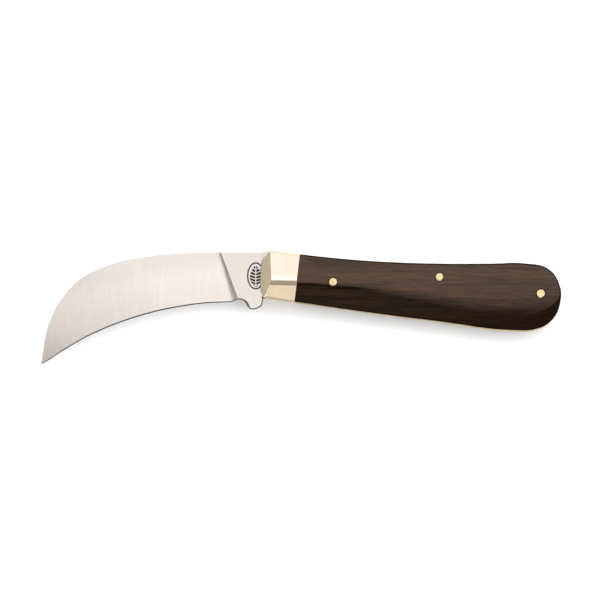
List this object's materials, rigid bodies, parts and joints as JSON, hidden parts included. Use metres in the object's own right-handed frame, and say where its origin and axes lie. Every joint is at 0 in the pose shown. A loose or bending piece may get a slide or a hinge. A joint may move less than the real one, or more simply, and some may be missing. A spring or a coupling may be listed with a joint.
{
  "type": "folding grafting knife",
  "caption": "Folding hawkbill knife with a slip-joint blade, brass bolsters and liners, and dark wood scales, for grafting and light pruning.",
  "frame": {"origin": "on the blade's pivot axis, in the plane of the bolster face that the knife lies on", "axes": "+X from the pivot towards the butt of the handle, +Y towards the blade's back and the back spring, +Z through the thickness towards the mark side"},
  "size_m": [0.1897, 0.0418, 0.014],
  "materials": {
    "blade_steel": "satin ground across the blade, with a finer sharpened edge",
    "spring_steel": "ground flush, satin",
    "liner_brass": "rolled sheet, satin edges",
    "bolster_brass": "hand polished pale brass",
    "dark_wood": "dark brown open-grained hardwood, oiled",
    "pin_brass": "peened and polished"
  },
  "bodies": {
    "handle": {"back_spring_tail": "spring_steel", "liner_mark_side": "liner_brass", "liner_pile_side": "liner_brass", "bolster_mark_side": "bolster_brass", "bolster_pile_side": "bolster_brass", "scale_mark_side": "dark_wood", "scale_pile_side": "dark_wood", "pivot_pin": "pin_brass", "spring_center_pin": "pin_brass", "spring_end_pin": "pin_brass", "scale_pin_mark_side": "pin_brass", "scale_pin_pile_side": "pin_brass", "bolster_rivet_upper_mark_side": "bolster_brass", "bolster_rivet_upper_pile_side": "bolster_brass", "bolster_rivet_lower_mark_side": "bolster_brass", "bolster_rivet_lower_pile_side": "bolster_brass"},
    "blade": {"blade": "blade_steel"},
    "spring_arm": {"back_spring_arm": "spring_steel"}
  },
  "joints": [
    {"name": "blade_pivot", "type": "hinge", "parent": "handle", "child": "blade", "pos_m": [0, 0, 0.007], "axis": [0, 0, 1], "range_deg": [0, 151]},
    {"name": "spring_flex", "type": "hinge", "parent": "handle", "child": "spring_arm", "pos_m": [0.046, 0.0013, 0.007], "axis": [0, 0, -1], "range_deg": [0, 1], "stiffness_Nm_per_rad": 150}
  ]
}
